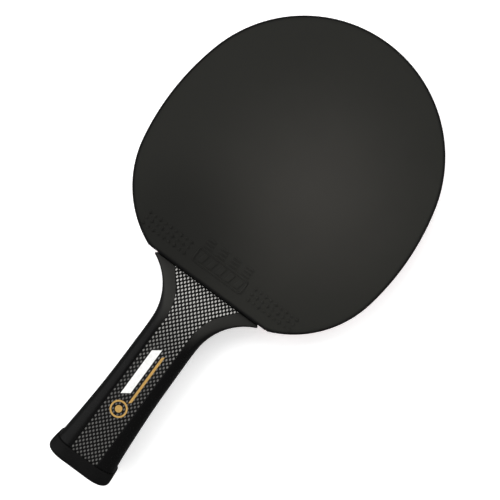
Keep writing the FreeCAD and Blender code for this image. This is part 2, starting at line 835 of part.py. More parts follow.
def build_blade(doc):
    """The seven plies. Their heights add up from the mid-plane."""
    make_ply(doc, "core_ply", "sizes.core_thick", "-sizes.core_thick / 2")
    base = "sizes.core_thick / 2"
    for kind in ("inner_ply", "carbon_ply", "outer_ply"):
        thick = f"sizes.{kind}_thick"
        make_ply(doc, f"front_{kind}", thick, base)
        make_ply(doc, f"back_{kind}", thick, f"-({base} + {thick})")
        base = f"{base} + {thick}"
    return base


def build_coverings(doc, base):
    """Glue, sponge and pimpled sheet on each face, from the blade's surface outwards."""
    for kind in ("adhesive_sheet", "sponge"):
        thick = f"sizes.{kind}_thick"
        make_flat_sheet(doc, f"front_{kind}", thick, base)
        make_flat_sheet(doc, f"back_{kind}", thick, f"-({base} + {thick})")
        base = f"{base} + {thick}"
    base = f"{base} + sizes.pimple_tall"
    make_topsheet(doc, "front_topsheet", base, turned=False)
    make_topsheet(doc, "back_topsheet", f"-({base})", turned=True)
    make_tape(doc, "edge_tape")


def build_handle(doc):
    """Shells, fillers and inlays, the same on both faces, then the cap and the foil marks."""
    for name, shape in (("handle_shell", make_shell()), ("handle_core", make_filler()),
                        ("weave_inlay", make_inlay())):
        add_solid(doc, f"front_{name}", shape)
        add_solid(doc, f"back_{name}", shape, flip=True)
    add_solid(doc, "butt_cap", make_cap())
    add_solid(doc, "badge_white_bar", make_white_bar())
    add_solid(doc, "badge_gold_stripe", make_gold_stripe())
    add_solid(doc, "badge_gold_roundel", make_gold_roundel())


def sub_parts(doc):
    """The finished sub-parts: every body and every filed solid."""
    kinds = ("PartDesign::Body", "Part::Feature")
    return [item for item in doc.Objects if item.TypeId in kinds]


def check_model(doc):
    """Stops if any object of the document failed or any sub-part has no valid shape."""
    for item in doc.Objects:
        if "Invalid" in item.State or "Error" in item.State:
            raise RuntimeError(f"{item.Name} failed: {item.State}")
    for item in sub_parts(doc):
        if item.Shape.isNull() or not item.Shape.isValid() or not item.Shape.Solids:
            raise RuntimeError(f"{item.Label} has no valid solid")


def write_parts(doc):
    """Writes one STEP file for each sub-part."""
    os.makedirs("parts", exist_ok=True)
    for item in sub_parts(doc):
        item.Shape.exportStep(f"parts/{item.Label}.step")
        print(item.Label, len(item.Shape.Solids), round(item.Shape.Volume, 1))


DOC = FreeCAD.newDocument("paddle")
SHEET = make_sheet(DOC)
build_coverings(DOC, build_blade(DOC))
build_handle(DOC)
DOC.recompute()
check_model(DOC)
write_parts(DOC)
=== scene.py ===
import json
import logging
import math
from contextlib import contextmanager
from dataclasses import dataclass, field
from enum import Enum
from typing import Callable, Iterator, Sequence

import bmesh
import bpy
from mathutils import Matrix, Vector
from mathutils.geometry import intersect_point_line


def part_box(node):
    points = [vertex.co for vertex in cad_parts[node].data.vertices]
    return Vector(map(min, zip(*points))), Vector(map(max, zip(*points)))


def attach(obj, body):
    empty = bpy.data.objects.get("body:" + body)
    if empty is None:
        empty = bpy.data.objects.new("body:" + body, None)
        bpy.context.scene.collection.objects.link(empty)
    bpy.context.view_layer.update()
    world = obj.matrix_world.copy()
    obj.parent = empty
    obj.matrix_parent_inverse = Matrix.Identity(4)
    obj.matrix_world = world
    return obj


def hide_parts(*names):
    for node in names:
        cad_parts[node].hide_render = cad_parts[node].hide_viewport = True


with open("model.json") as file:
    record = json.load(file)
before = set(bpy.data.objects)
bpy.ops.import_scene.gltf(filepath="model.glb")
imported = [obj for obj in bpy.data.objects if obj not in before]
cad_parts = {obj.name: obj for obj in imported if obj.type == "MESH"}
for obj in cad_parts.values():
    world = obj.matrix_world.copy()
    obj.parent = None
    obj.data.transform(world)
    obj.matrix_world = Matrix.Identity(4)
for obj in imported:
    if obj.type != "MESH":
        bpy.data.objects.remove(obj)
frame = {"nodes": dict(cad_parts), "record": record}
LOG = logging.getLogger("paddle")
MM = 0.001
# The point attribute that is 1 at a topsheet's outer edge and 0 over the rest of it; it carries
# painted shade along the rim.
RIM_SHADE = "rim"
# How level a face has to be, and how near to a height, to count as flat there.
LEVEL = 0.999
NEAR = 0.002 * MM

Colour = tuple[float, float, float]
Point = tuple[float, float]


class Face(Enum):
    """The paddle's two playing faces, by the word that starts the names of their nodes."""

    FRONT = "front"
    BACK = "back"


# --- shader graphs --------------------------------------------------------------------------------

class Signal:
    """A number that varies over a surface; arithmetic on it adds Math nodes to its graph."""

    def __init__(self, graph: "Graph", socket: bpy.types.NodeSocket) -> None:
        """Wraps one output socket of a graph's node."""
        self.graph = graph
        self.socket = socket

    def math(self, operation: str, *others: "Signal | float") -> "Signal":
        """Adds one Math node.

        Args:
            operation: the node's operation, such as "ADD".
            others: its further inputs.

        Returns:
            The node's output.
        """
        node = self.graph.add("ShaderNodeMath", {"operation": operation},
                              dict(enumerate((self, *others))))
        return Signal(self.graph, node.outputs[0])

    def _after(self, operation: str, first: float) -> "Signal":
        """One Math node whose first input is a plain number and whose second is this signal."""
        node = self.graph.add("ShaderNodeMath", {"operation": operation}, {0: first, 1: self})
        return Signal(self.graph, node.outputs[0])

    def __add__(self, other: "Signal | float") -> "Signal":
        """Sum."""
        return self.math("ADD", other)

    def __radd__(self, other: float) -> "Signal":
        """Sum with a plain number first."""
        return self.math("ADD", other)

    def __sub__(self, other: "Signal | float") -> "Signal":
        """Difference."""
        return self.math("SUBTRACT", other)

    def __rsub__(self, other: float) -> "Signal":
        """Difference with a plain number first."""
        return self._after("SUBTRACT", other)

    def __mul__(self, other: "Signal | float") -> "Signal":
        """Product."""
        return self.math("MULTIPLY", other)

    def __rmul__(self, other: float) -> "Signal":
        """Product with a plain number first."""
        return self.math("MULTIPLY", other)

    def __truediv__(self, other: "Signal | float") -> "Signal":
        """Quotient."""
        return self.math("DIVIDE", other)

    def size(self) -> "Signal":
        """The number without its sign."""
        return self.math("ABSOLUTE")

    def cycle(self) -> "Signal":
        """The part after the decimal point, from 0 to 1, for negative numbers too."""
        return self - self.math("FLOOR")

    def ramp(self, low: float, high: float) -> "Signal":
        """A smooth step from 0 at low to 1 at high."""
        node = self.graph.add("ShaderNodeMapRange", {"interpolation_type": "SMOOTHSTEP"},
                              {"Value": self, "From Min": low, "From Max": high})
        return Signal(self.graph, node.outputs["Result"])


@dataclass
class Graph:
    """The node tree of one finish, with its Principled shader already in place."""

    name: str
    material: bpy.types.Material = field(init=False)
    shader: bpy.types.Node = field(init=False)

    def __post_init__(self) -> None:
        """Makes an empty material with one shader."""
        self.material = bpy.data.materials.new(self.name)
        self.material.use_nodes = True
        self.shader = self.material.node_tree.nodes["Principled BSDF"]

    def add(self, kind: str, settings: dict, sockets: dict) -> bpy.types.Node:
        """Adds one node.

        Args:
            kind: the node's type.
            settings: its properties, set before its sockets.
            sockets: a value, a Signal or a socket for each input, by name or by number.

        Returns:
            The node.
        """
        node = self.material.node_tree.nodes.new(kind)
        for key, value in settings.items():
            setattr(node, key, value)
        for key, value in sockets.items():
            self.feed(node.inputs[key], value)
        return node

    def feed(self, target: bpy.types.NodeSocket, value: object) -> None:
        """Links a Signal or a socket to an input, or sets the input's own value."""
        if isinstance(value, Signal):
            value = value.socket
        if isinstance(value, bpy.types.NodeSocket):
            self.material.node_tree.links.new(value, target)
        elif isinstance(value, tuple) and target.type == "RGBA":
            target.default_value = (*value, 1.0)
        else:
            target.default_value = value

    def set(self, **sockets: object) -> None:
        """Sets or links the shader's inputs; an underscore stands for a space."""
        for key, value in sockets.items():
            self.feed(self.shader.inputs[key.replace("_", " ")], value)

    def place(self) -> bpy.types.NodeSocket:
        """The point on the surface, in the paddle's own frame, in metres."""
        return self.add("ShaderNodeTexCoord", {}, {}).outputs["Object"]

    def axes(self) -> tuple[Signal, Signal, Signal]:
        """The point's x, y and z, in millimetres."""
        node = self.add("ShaderNodeSeparateXYZ", {}, {0: self.place()})
        return tuple(Signal(self, output) * (1 / MM) for output in node.outputs)

    def facing(self) -> Signal:
        """How squarely the surface looks up or down: 1 on a flat face, 0 on an upright one."""
        normal = self.add("ShaderNodeTexCoord", {}, {}).outputs["Normal"]
        node = self.add("ShaderNodeSeparateXYZ", {}, {0: normal})
        return Signal(self, node.outputs[2]).size()

    def noise(self, per_metre: float, detail: float = 3.0, rough: float = 0.5,
              stretch: tuple[float, float, float] = (1.0, 1.0, 1.0)) -> Signal:
        """Smooth random variation from 0 to 1.

        Args:
            per_metre: how many blots there are to a metre.
            detail: how many finer layers lie on it.
            rough: how strong those layers are.
            stretch: how much closer together the blots are along x, y and z.

        Returns:
            The variation.
        """
        mapping = self.add("ShaderNodeMapping", {}, {"Vector": self.place(), "Scale": stretch})
        node = self.add("ShaderNodeTexNoise", {}, {
            "Vector": mapping.outputs[0], "Scale": per_metre, "Detail": detail,
            "Roughness": rough})
        return Signal(self, node.outputs["Fac"])

    def blend(self, share: Signal, low: object, high: object) -> bpy.types.NodeSocket:
        """A colour between low and high."""
        node = self.add("ShaderNodeMix", {"data_type": "RGBA"}, {0: share, 6: low, 7: high})
        return node.outputs[2]

    def relief(self, height: Signal, metres: float) -> None:
        """Raises and lowers the surface's shading.

        Args:
            height: the relief, from 0 to 1.
            metres: how far its top stands above its bottom.
        """
        node = self.add("ShaderNodeBump", {}, {"Height": height, "Distance": metres})
        self.set(Normal=node.outputs[0])


# --- finishes -------------------------------------------------------------------------------------

@dataclass(frozen=True)
class Wood:
    """Bare wood whose grain runs along one axis of the paddle, with a band of painted shade across
    the shoulders.
    """

    name: str
    pale: Colour
    dark: Colour
    closeness: tuple[float, float, float] = (60.0, 2.5, 60.0)
    # The band of painted shade across the shoulders: its heights and fade in mm, and its colour.
    shade_band_above: float = -20.9
    shade_band_below: float = -22.9
    shade_band_fade: float = 0.1
    shade_band_colour: Colour = (0.012, 0.012, 0.012)

    def make(self) -> bpy.types.Material:
        """Builds the material: fine stretched grain over broad bands."""
        graph = Graph(self.name)
        _, y, _ = graph.axes()
        grain = graph.noise(12.0, 6.0, 0.6, self.closeness)
        band = graph.noise(2.0, 2.0, 0.5, self.closeness)
        share = (grain * 0.7 + band * 0.3).ramp(0.3, 0.75)
        # Painted shade: the wood darkens in a band across the shoulders.
        middle = (self.shade_band_above + self.shade_band_below) / 2
        reach = (self.shade_band_above - self.shade_band_below) / 2
        shade_band = 1.0 - (y - middle).size().ramp(reach - self.shade_band_fade, reach)
        wood = graph.blend(share, self.pale, self.dark)
        graph.set(Base_Color=graph.blend(shade_band, wood, self.shade_band_colour),
                  Roughness=share * 0.15 + 0.55)
        graph.relief(grain, 0.05 * MM)
        return graph.material


@dataclass(frozen=True)
class CarbonCloth:
    """Woven carbon in resin, as on the plies inside the blade."""

    name: str = "carbon_cloth"
    tow: float = 2.0

    def make(self) -> bpy.types.Material:
        """Builds the material: a plain weave of tows, each with its own sheen."""
        graph = Graph(self.name)
        x, y, _ = graph.axes()
        across = (x / self.tow).math("FLOOR")
        along = (y / self.tow).math("FLOOR")
        over = ((across + along) * 0.5).cycle().ramp(0.2, 0.3)
        fibres = graph.noise(900.0, 2.0)
        graph.set(Base_Color=graph.blend(over, (0.012, 0.012, 0.013), (0.035, 0.035, 0.038)),
                  Roughness=over * 0.2 + fibres * 0.2 + 0.25)
        graph.relief(over, 0.05 * MM)
        return graph.material


@dataclass(frozen=True)
class Glue:
    """A dried film of latex glue."""

    name: str = "adhesive"
    thick: Colour = (0.66, 0.6, 0.44)
    thin: Colour = (0.8, 0.76, 0.62)

    def make(self) -> bpy.types.Material:
        """Builds the material: cloudy, uneven and slightly shiny."""
        graph = Graph(self.name)
        cloud = graph.noise(160.0, 4.0)
        graph.set(Base_Color=graph.blend(cloud.ramp(0.3, 0.7), self.thick, self.thin),
                  Roughness=cloud * 0.3 + 0.3)
        graph.relief(cloud, 0.05 * MM)
        return graph.material


@dataclass(frozen=True)
class Sponge:
    """Fine closed sponge with its pores opened at the edge, painted dark inside as shade."""

    name: str = "sponge"
    skin: Colour = (0.045, 0.045, 0.045)
    pore_shade: Colour = (0.008, 0.008, 0.008)
    pores_per_metre: float = 3000.0

    def make(self) -> bpy.types.Material:
        """Builds the material: small round pits of two sizes, painted dark inside as shade."""
        graph = Graph(self.name)
        walls = []
        for closeness in (self.pores_per_metre, self.pores_per_metre * 2.3):
            cells = graph.add("ShaderNodeTexVoronoi", {}, {"Vector": graph.place(),
                                                           "Scale": closeness})
            walls.append(Signal(graph, cells.outputs["Distance"]).ramp(0.12, 0.5))
        wall = walls[0].math("MINIMUM", walls[1] * 0.6 + 0.4)
        # The pits are painted dark as shade.
        graph.set(Base_Color=graph.blend(wall, self.pore_shade, self.skin), Roughness=0.9)
        graph.relief(wall, 0.15 * MM)
        return graph.material


@dataclass(frozen=True)
class SheetRubber:
    """A topsheet's rubber: satin, paler in the middle from use and a painted sheen, with painted
    shade near the handle on one side and along its edge.
    """

    name: str
    fresh: Colour
    worn_and_sheen: Colour
    # The dark colour of the painted shade along the rim and near the handle.
    shade_colour: Colour
    # Where the pale middle lies and how far it fades, in mm; it is partly use and partly a painted
    # sheen.
    wear_and_sheen_middle: Point = (15.0, 52.0)
    wear_and_sheen_reach: tuple[float, float] = (0.0, 104.0)
    # A patch of painted shade near the handle on one side: its middle and reach in mm, and how dark
    # it gets.
    painted_shade_middle: Point = (-28.0, -6.0)
    painted_shade_reach: tuple[float, float] = (6.0, 54.0)
    painted_shade_share: float = 0.34
    drift: float = 24.0

    def make(self) -> bpy.types.Material:
        """Builds the material: a middle paled by use and a painted sheen, painted shade near the
        handle, a fine tooth and painted shade along the rim.
        """
        graph = Graph(self.name)
        x, y, _ = graph.axes()
        # The rim attribute, which paints shade along the edge.
        rim = Signal(graph, graph.add("ShaderNodeAttribute", {"attribute_name": RIM_SHADE},
                                      {}).outputs["Fac"])
        cloud = graph.noise(24.0, 4.0, 0.55)
        stray = cloud * self.drift - self.drift / 2
        # The pale middle: partly use, partly a painted sheen.
        wear_and_sheen = self._spot(x - self.wear_and_sheen_middle[0], y - self.wear_and_sheen_middle[1], stray, self.wear_and_sheen_reach)
        # The patch of painted shade near the handle on one side.
        painted_shade_patch = self._spot(x - self.painted_shade_middle[0], y - self.painted_shade_middle[1], stray, self.painted_shade_reach)
        tooth = graph.noise(2600.0, 2.0, 0.6)
        scuffs = graph.noise(300.0, 3.0, 0.7, (1.0, 0.12, 1.0)).ramp(0.62, 0.8)
        face = graph.blend(wear_and_sheen * wear_and_sheen + scuffs * 0.06, self.fresh, self.worn_and_sheen)
        # Painted shade: the face darkens towards the shade colour near the handle.
        face = graph.blend(painted_shade_patch * self.painted_shade_share, face, self.shade_colour)
        # Painted shade along the edge, fading inwards over the inset ring.
        graph.set(Base_Color=graph.blend(rim.ramp(0.0, 1.0), face, self.shade_colour),
                  Roughness=tooth * 0.1 + cloud * 0.1 - wear_and_sheen * 0.06 + 0.47)
        graph.relief(tooth, 0.015 * MM)
        return graph.material

    @staticmethod
    def _spot(aside: Signal, above: Signal, stray: Signal,
              reach: tuple[float, float]) -> Signal:
        """A round spot with an uneven rim: 1 at its middle, 0 outside.

        Args:
            aside: the distance across from its middle.
            above: the distance along from its middle.
            stray: how far its rim wanders.
            reach: the radii where it starts and ends fading.

        Returns:
            The spot.
        """
        away = (aside * aside + above * above).math("SQRT")
        return 1.0 - (away + stray).ramp(*reach)


@dataclass(frozen=True)
class TapeCloth:
    """The thin black tape on the blade's edge: close cloth under a plastic face."""

    name: str = "edge_tape"
    rib: float = 0.45

    def make(self) -> bpy.types.Material:
        """Builds the material: fine ribs along the tape, its threads and faint handling marks."""
        graph = Graph(self.name)
        _, _, z = graph.axes()
        rub = graph.noise(120.0, 4.0).ramp(0.45, 0.8)
        thread = graph.noise(2400.0, 2.0, 0.5)
        rib = ((z / self.rib).cycle() - 0.5).size() * 2.0
        graph.set(Base_Color=graph.blend(rub, (0.008, 0.008, 0.008), (0.017, 0.017, 0.017)),
                  Roughness=thread * 0.15 + rib * 0.06 + 0.42)
        graph.relief(rib * 0.6 + thread * 0.4, 0.03 * MM)
        return graph.material


@dataclass(frozen=True)
class ShellGloss:
    """The moulded shells: gloss on the grip, left satin where they flare into the neck, with
    painted shade where the neck slopes away.
    """

    name: str = "gloss_shell"
    satin_from: float = -56.0
    satin_to: float = -38.0

    def make(self) -> bpy.types.Material:
        """Builds the material: black with a satin neck whose slopes are painted darker as shade,
        orange peel and faint hand marks.
        """
        graph = Graph(self.name)
        _, y, _ = graph.axes()
        satin = y.ramp(self.satin_from, self.satin_to)
        peel = graph.noise(420.0, 2.0, 0.5)
        hands = graph.noise(70.0, 4.0, 0.6).ramp(0.45, 0.8)
        # Painted shade: the neck's faces darken as they tilt away from level.
        top = graph.facing().ramp(0.75, 0.98)
        satin_with_slope_shade = graph.blend(top, (0.003, 0.003, 0.003), (0.0175, 0.0172, 0.0155))
        graph.set(Base_Color=graph.blend(satin, (0.002, 0.002, 0.002), satin_with_slope_shade),
                  Roughness=satin * 0.2 + hands * 0.09 + 0.26)
        graph.relief(peel, 0.01 * MM)
        return graph.material


@dataclass(frozen=True)
class WeaveInlay:
    """The inlay's look: a staggered lattice of pale upright tows on black, under a clear coat."""

    name: str = "carbon_weave"
    across: float = 2.5
    down: float = 2.75
    tow_wide: float = 0.37
    tow_long: float = 0.5
    ground: Colour = (0.0015, 0.0015, 0.0015)
    tint: Colour = (1.0, 0.985, 0.94)

    def make(self) -> bpy.types.Material:
        """Builds the material: fibred tows with a painted sheen that brightens them towards the
        neck.
        """
        graph = Graph(self.name)
        x, y, _ = graph.axes()
        first = self._tows(x / self.across, y / self.down)
        second = self._tows(x / self.across + 0.5, y / self.down + 0.5)
        tow = first.math("MAXIMUM", second)
        fibre = graph.noise(2500.0, 2.0, 0.5, (3.0, 0.4, 1.0))
        # Painted sheen: the tows are painted brighter towards the neck.
        painted_sheen = y.ramp(-100.0, -20.0)
        # The tows' pale colour: their own tone with the painted sheen on it.
        light = (painted_sheen * painted_sheen * 0.36 + 0.10) * (fibre * 0.5 + 0.75)
        red, green, blue = (light * share for share in self.tint)
        pale = graph.add("ShaderNodeCombineColor", {}, {0: red, 1: green, 2: blue})
        graph.set(Base_Color=graph.blend(tow, self.ground, pale.outputs[0]),
                  Roughness=0.38 - tow * 0.1, Coat_Weight=0.4, Coat_Roughness=0.12)
        graph.relief(tow, 0.05 * MM)
        return graph.material

    def _tows(self, across: Signal, down: Signal) -> Signal:
        """Upright ovals at the points of a square lattice of unit size."""
        aside = (across.cycle() - 0.5).size() * (2.0 / self.tow_wide)
        above = (down.cycle() - 0.5).size() * (2.0 / self.tow_long)
        return 1.0 - (aside * aside + above * above).math("SQRT").ramp(0.7, 1.2)


@dataclass(frozen=True)
class SoftCap:
    """The butt cap's soft moulded rubber."""

    name: str = "soft_cap"

    def make(self) -> bpy.types.Material:
        """Builds the material: matte, with the fine grain of its mould and a little rubbing."""
        graph = Graph(self.name)
        grain = graph.noise(1500.0, 4.0, 0.6)
        rub = graph.noise(60.0, 3.0).ramp(0.4, 0.8)
        graph.set(Base_Color=graph.blend(rub, (0.0022, 0.0022, 0.0022), (0.0042, 0.0042, 0.004)),
                  Roughness=grain * 0.12 + 0.6)
        graph.relief(grain, 0.05 * MM)
        return graph.material


@dataclass(frozen=True)
class Foil:
    """Hot-stamped foil on the inlay."""

    name: str
    colour: Colour
    metal: float

    def make(self) -> bpy.types.Material:
        """Builds the material: even, with a slight tooth where it follows the weave."""
        graph = Graph(self.name)
        tooth = graph.noise(900.0, 3.0)
        rubbed = tuple(channel * 0.86 for channel in self.colour)
        graph.set(Base_Color=graph.blend(tooth.ramp(0.35, 0.7), rubbed, self.colour),
                  Metallic=self.metal, Roughness=tooth * 0.15 + 0.35)
        graph.relief(tooth, 0.02 * MM)
        return graph.material


def finishes() -> dict[str, bpy.types.Material]:
    """Every finish of the paddle, by the record's material slot."""
    recipes = {
        "light_wood": Wood("light_wood", (0.66, 0.49, 0.30), (0.50, 0.34, 0.19)),
        "cross_wood": Wood("cross_wood", (0.60, 0.45, 0.28), (0.46, 0.31, 0.18),
                           (2.5, 60.0, 60.0)),
        "carbon_cloth": CarbonCloth(),
        "dyed_veneer": Wood("dyed_veneer", (0.030, 0.026, 0.023), (0.012, 0.011, 0.010)),
        "adhesive": Glue(),
        "sponge": Sponge(),
        "black_rubber": SheetRubber("black_rubber", (0.0132, 0.0132, 0.0112),
                                    (0.0280, 0.0267, 0.0235), (0.0015, 0.0015, 0.0015)),
        "red_rubber": SheetRubber("red_rubber", (0.33, 0.012, 0.009), (0.40, 0.024, 0.018),
                                  (0.20, 0.006, 0.005)),
        "edge_tape": TapeCloth(),
        "filler_wood": Wood("filler_wood", (0.56, 0.42, 0.27), (0.42, 0.29, 0.17)),
        "gloss_shell": ShellGloss(),
        "carbon_weave": WeaveInlay(),
        "soft_cap": SoftCap(),
        "white_foil": Foil("white_foil", (0.86, 0.86, 0.84), 0.0),
        "gold_foil": Foil("gold_foil", (0.66, 0.40, 0.12), 0.35),
    }
    return {slot: recipe.make() for slot, recipe in recipes.items()}


# --- modelling ------------------------------------------------------------------------------------

def pick(piece: bpy.types.Object) -> None:
    """Makes a piece the only one selected, and the active one."""
    bpy.ops.object.select_all(action="DESELECT")
    piece.select_set(True)
    bpy.context.view_layer.objects.active = piece


@contextmanager
def editing(piece: bpy.types.Object, kind: str) -> Iterator[None]:
    """Opens a piece in edit mode for picking vertices, edges or faces, and closes it after."""
    pick(piece)
    bpy.ops.object.mode_set(mode="EDIT")
    bpy.ops.mesh.select_mode(type=kind)
    bpy.ops.mesh.select_all(action="DESELECT")
    yield
    bpy.ops.object.mode_set(mode="OBJECT")


def choose_faces(piece: bpy.types.Object, test: Callable[[bmesh.types.BMFace], bool]) -> None:
    """In edit mode, selects the faces that pass a test, and nothing else."""
    shape = bmesh.from_edit_mesh(piece.data)
    for face in shape.faces:
        face.select_set(False)
    for face in shape.faces:
        if test(face):
            face.select_set(True)
    bmesh.update_edit_mesh(piece.data)


def flat_at(height: float) -> Callable[[bmesh.types.BMFace], bool]:
    """A test for level faces at one height."""
    return lambda face: (abs(face.normal.z) > LEVEL
                         and abs(face.calc_center_median().z - height) < NEAR)


def settle(piece: bpy.types.Object) -> None:
    """Moves a new primitive's place, turn and scale into its mesh."""
    pick(piece)
    bpy.ops.object.transform_apply(location=True, rotation=True, scale=True)


def join(pieces: Sequence[bpy.types.Object]) -> bpy.types.Object:
    """Joins pieces into the first of them."""
    bpy.ops.object.select_all(action="DESELECT")
    for piece in pieces:
        piece.select_set(True)
    bpy.context.view_layer.objects.active = pieces[0]
    bpy.ops.object.join()
    return pieces[0]


def twin(piece: bpy.types.Object, name: str, turn: Matrix) -> bpy.types.Object:
    """A copy of a piece with its own mesh, moved or turned to another place."""
    other = piece.copy()
    other.data = piece.data.copy()
    other.data.transform(turn)
    other.name = name
    bpy.context.scene.collection.objects.link(other)
    return other


def merged_copy(node: str, name: str) -> bpy.types.Object:
    """A copy of a CAD node with its loose triangles joined up, ready to be worked on."""
    piece = bpy.data.objects.new(name, frame["nodes"][node].data.copy())
    bpy.context.scene.collection.objects.link(piece)
    with editing(piece, "VERT"):
        bpy.ops.mesh.select_all(action="SELECT")
        bpy.ops.mesh.customdata_custom_splitnormals_clear()
        bpy.ops.mesh.remove_doubles(threshold=0.0005 * MM)
    return piece


def apply_modifier(piece: bpy.types.Object, kind: str, **settings: object) -> None:
    """Adds a modifier with its settings and applies it."""
    pick(piece)
    bpy.ops.object.modifier_add(type=kind)
    modifier = piece.modifiers[-1]
    for key, value in settings.items():
        setattr(modifier, key, value)
    bpy.ops.object.modifier_apply(modifier=modifier.name)


def smooth(piece: bpy.types.Object, degrees: float) -> None:
    """Smooths a piece's shading across all but its sharp edges, with its flat faces kept flat."""
    pick(piece)
    bpy.ops.object.shade_smooth_by_angle(angle=math.radians(degrees))
    apply_modifier(piece, "WEIGHTED_NORMAL", keep_sharp=True, weight=100)


def hand_over(piece: bpy.types.Object, slot: str, slots: dict[str, bpy.types.Material],
              *nodes: str) -> None:
    """Dresses a finished piece, attaches it to the root body and hides the CAD nodes it stands in
    for.
    """
    piece.data.materials.clear()
    piece.data.materials.append(slots[slot])
    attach(piece, "root")
    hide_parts(*nodes)
    LOG.info("%s: %d faces for %s", piece.name, len(piece.data.polygons), ", ".join(nodes))


# --- the rubber -----------------------------------------------------------------------------------

@dataclass
class Emboss:
    """The plain pattern moulded into a topsheet above its lower edge: a frame, bars and dots.

    The first five sizes are in metres and all the others are in millimetres.
    """

    surface: float
    foot: float
    tall: float = 0.4 * MM
    sunk: float = 0.15 * MM
    chamfer: float = 0.3 * MM
    frame_half: float = 15.7
    frame_low: float = 6.9
    frame_high: float = 15.4
    frame_wide: float = 0.9
    frame_corner: float = 1.6
    # Wide, long and slant of each kind of bar, and the studs' radius.
    post: tuple[float, float, float] = (3.0, 5.0, 1.1)
    rail: tuple[float, float, float] = (4.6, 1.0, 0.0)
    tick: tuple[float, float, float] = (2.0, 0.7, 0.0)
    upright: tuple[float, float, float] = (0.7, 2.0, 0.0)
    stud: float = 0.75
    posts: int = 5
    post_pitch: float = 5.6
    grille_low: float = 16.9
    rail_rows: int = 3
    rail_rise: float = 2.1
    grilles: int = 4
    grille_pitch: float = 8.0
    field_low: float = 7.6
    field_start: float = 20.5
    field_pitch: float = 3.3
    field_columns: int = 9
    field_rows: int = 3

    def build(self) -> list[bpy.types.Object]:
        """Models each mark once and sets its copies in place.

        Returns:
            The raised marks, to be joined to the sheet.
        """
        shapes = {"post": self.bar(*self.post), "rail": self.bar(*self.rail),
                  "dot": self.dot(self.stud), "tick": self.bar(*self.tick),
                  "upright": self.bar(*self.upright)}
        marks = [self.ring()]
        for key, across, above in self.layout():
            place = Matrix.Translation((across * MM, self.foot + above * MM, 0.0))
            marks.append(twin(shapes[key], key, place))
        for shape in shapes.values():
            bpy.data.objects.remove(shape)
        return marks

    def layout(self) -> Iterator[tuple[str, float, float]]:
        """Which mark goes where: its name, and its place across and above the lower edge in mm."""
        for number in range(self.posts):
            across = self.post_pitch * (number - (self.posts - 1) / 2)
            yield "post", across, (self.frame_low + self.frame_high) / 2
        for number in range(self.grilles):
            across = self.grille_pitch * (number - (self.grilles - 1) / 2)
            for row in range(self.rail_rows):
                yield "rail", across, self.grille_low + self.rail_rise * row
        for side in (-1.0, 1.0):
            for column in range(self.field_columns):
                for row in range(self.field_rows):
                    across = side * (self.field_start + self.field_pitch * column)
                    above = self.field_low + self.field_pitch * row
                    if (column + row) % 2:
                        yield "dot", across, above
                    else:
                        yield "tick", across, above
                        yield "upright", across, above

    def soften(self, piece: bpy.types.Object) -> bpy.types.Object:
        """Chamfers the rim of a mark's top."""
        top = self.surface + self.tall
        with editing(piece, "FACE"):
            choose_faces(piece, flat_at(top))
            bpy.ops.mesh.bevel(offset=self.chamfer, segments=2, affect="EDGES")
        return piece

    def bar(self, wide: float, long: float, slant: float) -> bpy.types.Object:
        """A raised bar whose upper end leans to the right; all in mm."""
        bpy.ops.mesh.primitive_cube_add(
            size=1.0, location=(0.0, 0.0, self.surface + (self.tall - self.sunk) / 2),
            scale=(wide * MM, long * MM, self.tall + self.sunk))
        piece = bpy.context.object
        settle(piece)
        with editing(piece, "FACE"):
            choose_faces(piece, lambda face: face.normal.y > 0.9)
            bpy.ops.transform.translate(value=(slant * MM, 0.0, 0.0))
        return self.soften(piece)

    def dot(self, radius: float) -> bpy.types.Object:
        """A raised round stud; its radius is in mm."""
        bpy.ops.mesh.primitive_cylinder_add(
            vertices=12, radius=radius * MM, depth=self.tall + self.sunk,
            location=(0.0, 0.0, self.surface + (self.tall - self.sunk) / 2))
        piece = bpy.context.object
        settle(piece)
        return self.soften(piece)

    def ring(self) -> bpy.types.Object:
        """The raised frame: a block whose corners are rounded and whose middle is pushed down."""
        high = (self.frame_high - self.frame_low) * MM
        bpy.ops.mesh.primitive_cube_add(
            size=1.0,
            location=(0.0, self.foot + (self.frame_low + self.frame_high) / 2 * MM,
                      self.surface + (self.tall - self.sunk) / 2),
            scale=(2 * self.frame_half * MM, high, self.tall + self.sunk))
        piece = bpy.context.object
        settle(piece)
        top = self.surface + self.tall
        with editing(piece, "EDGE"):
            shape = bmesh.from_edit_mesh(piece.data)
            for edge in shape.edges:
                edge.select_set(abs(edge.verts[0].co.z - edge.verts[1].co.z) > self.sunk)
            bmesh.update_edit_mesh(piece.data)
            bpy.ops.mesh.bevel(offset=self.frame_corner * MM, segments=4, affect="EDGES")
        with editing(piece, "FACE"):
            choose_faces(piece, flat_at(top))
            bpy.ops.mesh.inset(thickness=self.frame_wide * MM)
            bpy.ops.mesh.extrude_region_move(
                TRANSFORM_OT_translate={"value": (0.0, 0.0, -self.tall - self.sunk / 2)})
        return self.soften(piece)


